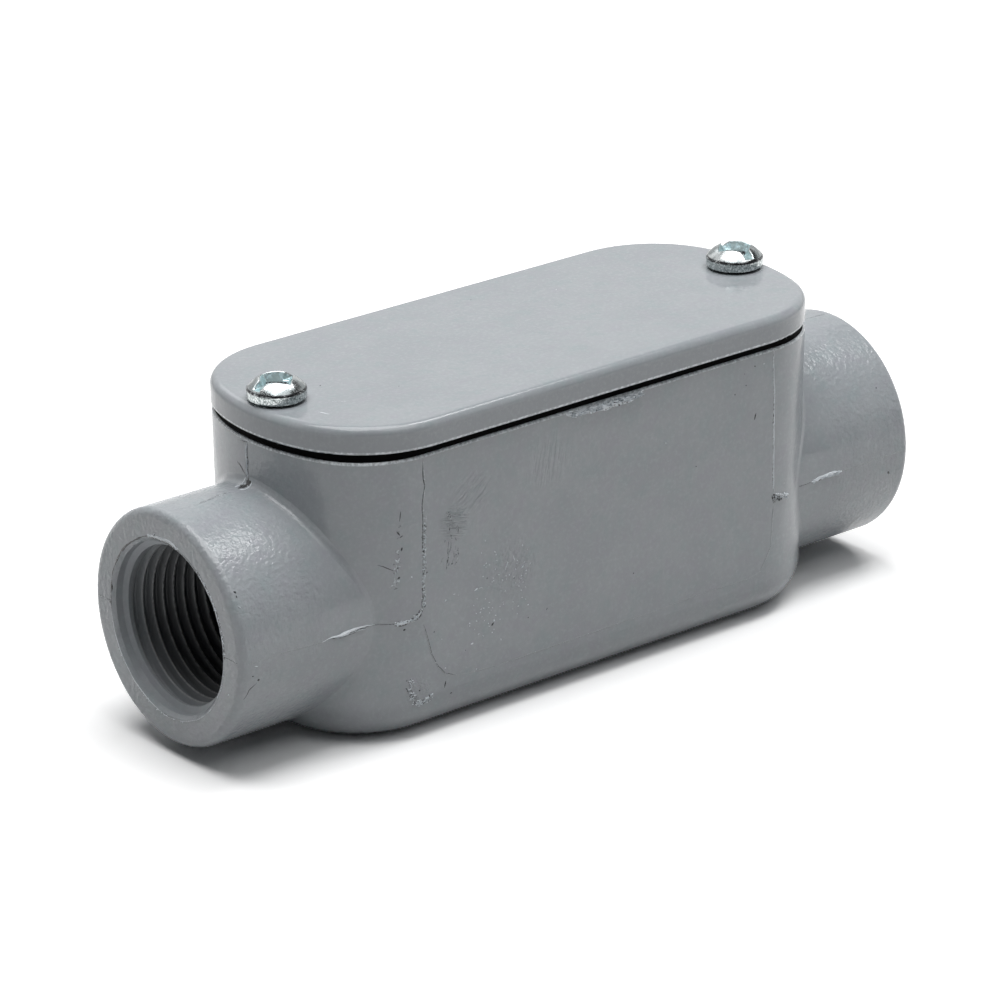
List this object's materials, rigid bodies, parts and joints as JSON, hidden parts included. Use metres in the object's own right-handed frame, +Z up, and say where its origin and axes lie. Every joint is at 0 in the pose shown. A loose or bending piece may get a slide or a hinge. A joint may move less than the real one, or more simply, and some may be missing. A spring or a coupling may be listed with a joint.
{
  "type": "conduit body",
  "caption": "Straight-through threaded conduit body: a cast wiring box with a hub at each end and a gasketed, screwed-on cover.",
  "frame": {"origin": "middle of the flat underside of the casting", "axes": "+X along the two hubs, +Y across the box, +Z up through the cover"},
  "size_m": [0.1304, 0.0428, 0.0536],
  "materials": {
    "painted_casting": "semi-gloss grey enamel over die-cast aluminium, slight orange peel, flash lines left on",
    "painted_cover": "smooth semi-gloss grey enamel over die-cast aluminium",
    "gasket_rubber": "matt black sheet rubber",
    "zinc_screw": "bright zinc plating with a bluish cast"
  },
  "bodies": {
    "body": {"casting": "painted_casting", "gasket": "gasket_rubber"},
    "cover": {"cover": "painted_cover"},
    "left_screw": {"cover_screw_left": "zinc_screw"},
    "right_screw": {"cover_screw_right": "zinc_screw"}
  },
  "joints": [
    {"name": "cover_lift", "type": "slide", "parent": "body", "child": "cover", "axis": [0, 0, 1], "range_m": [0, 0.03]},
    {"name": "left_screw_out", "type": "slide", "parent": "cover", "child": "left_screw", "axis": [0, 0, 1], "range_m": [0, 0.014]},
    {"name": "right_screw_out", "type": "slide", "parent": "cover", "child": "right_screw", "axis": [0, 0, 1], "range_m": [0, 0.014]}
  ]
}
